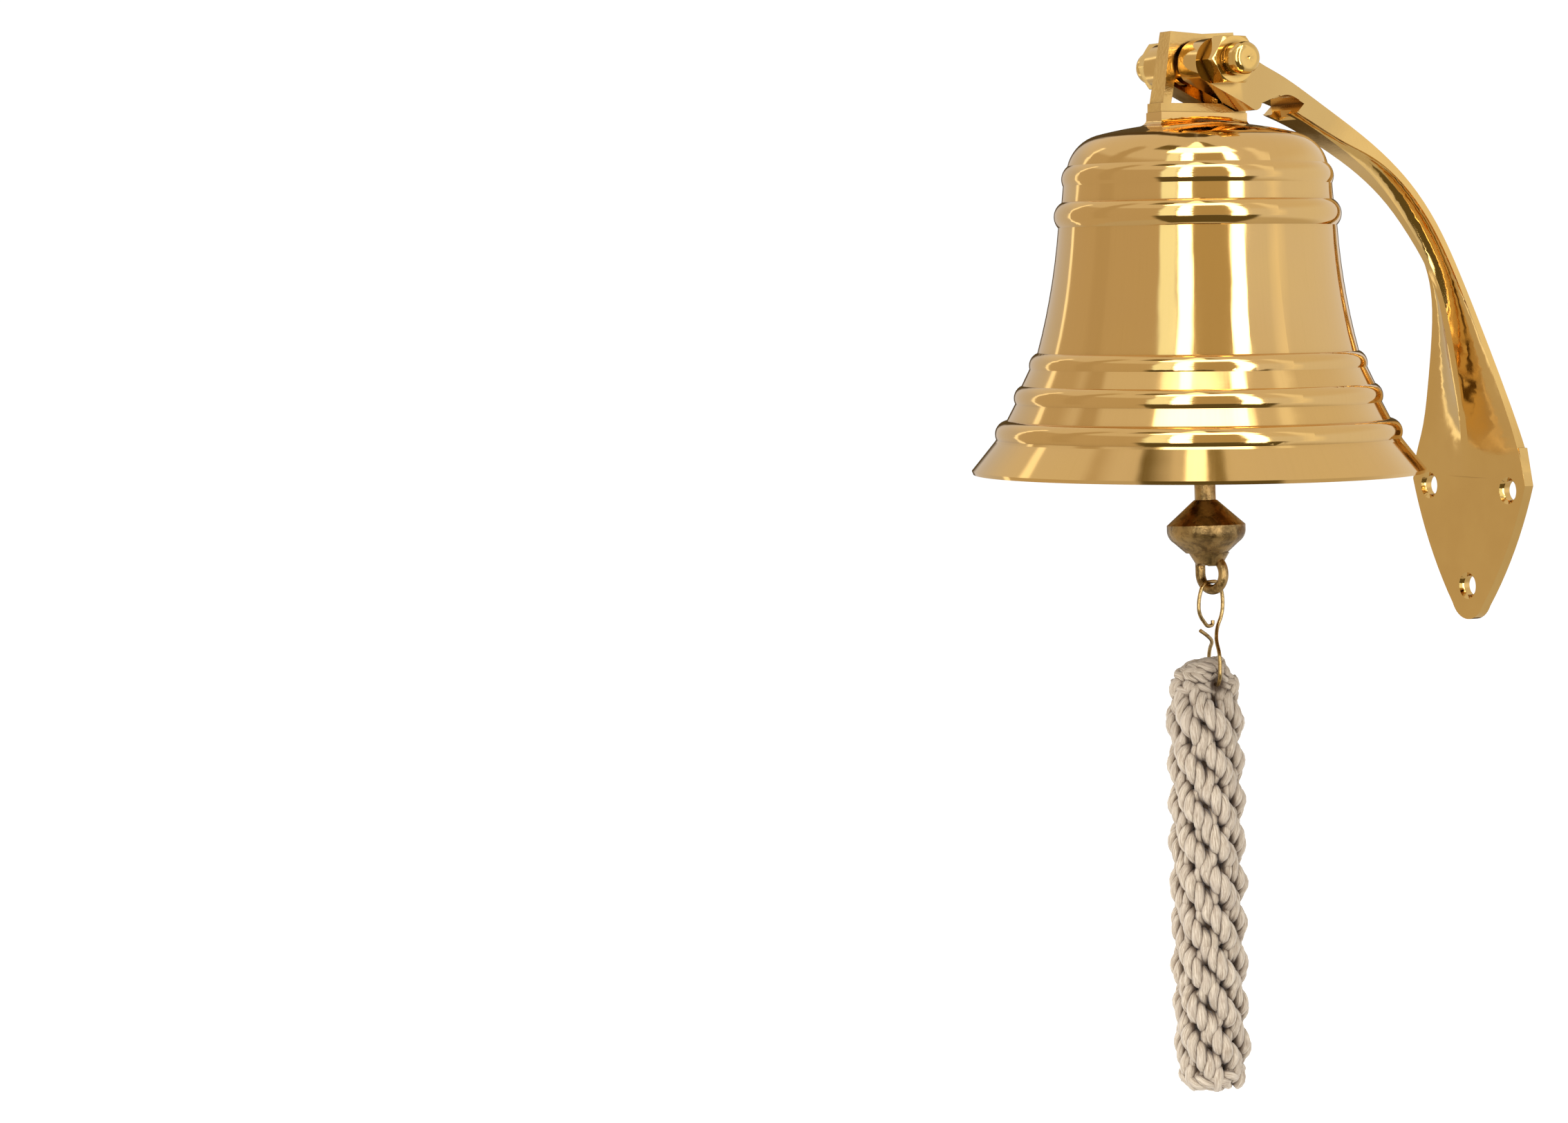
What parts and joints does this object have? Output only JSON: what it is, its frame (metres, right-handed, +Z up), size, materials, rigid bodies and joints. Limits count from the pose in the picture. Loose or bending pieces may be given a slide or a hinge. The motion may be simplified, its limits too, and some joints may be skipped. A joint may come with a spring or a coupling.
{
  "type": "ship bell",
  "caption": "Wall-mounted brass ship bell hung from a forked swan-neck bracket, with a swinging clapper and a plaited rope lanyard.",
  "frame": {"origin": "midway between the two upper screw holes, on the back face of the wall plate", "axes": "+Z up, +Y into the wall, +X along the pivot stud"},
  "size_m": [0.1524, 0.1927, 0.3577],
  "materials": {
    "polished_brass": "bright polished, fine turned lines",
    "cast_brass": "satin, lightly cast texture on the sides",
    "hardware_brass": "bright machined",
    "aged_brass": "dark and uneven, as cast",
    "wire_brass": "drawn wire, lightly tarnished",
    "lanyard_cotton": "plaited twisted cotton cord"
  },
  "bodies": {
    "bracket": {"bracket": "polished_brass", "pivot_stud": "hardware_brass", "cap_nuts": "hardware_brass", "spacer_washers": "hardware_brass"},
    "bell": {"bell_shell": "polished_brass", "crown_yoke": "cast_brass", "crown_washer": "hardware_brass", "crown_nut": "hardware_brass", "clapper_staple": "aged_brass", "clapper_pin": "aged_brass"},
    "clapper": {"clapper_rod": "aged_brass", "clapper_ball": "aged_brass", "clapper_eye": "aged_brass"},
    "hook": {"lanyard_hook": "wire_brass"},
    "lanyard": {"lanyard": "lanyard_cotton"}
  },
  "joints": [
    {"name": "bell_swing", "type": "hinge", "parent": "bracket", "child": "bell", "pos_m": [0, -0.1165, 0.1464], "axis": [1, 0, 0], "range_deg": [-45, 6]},
    {"name": "clapper_swing", "type": "hinge", "parent": "bell", "child": "clapper", "pos_m": [0, -0.1165, 0.0945], "axis": [0, 1, 0], "range_deg": [-28.5, 34]},
    {"name": "hook_swing", "type": "hinge", "parent": "clapper", "child": "hook", "pos_m": [0.00583, -0.1147, -0.0249], "axis": [0.2079, -0.9781, 0], "range_deg": [-33, 33]},
    {"name": "lanyard_swing", "type": "hinge", "parent": "hook", "child": "lanyard", "pos_m": [0.00611, -0.11395, -0.0622], "axis": [0.9367, -0.3502, 0], "range_deg": [-30, 30]}
  ]
}
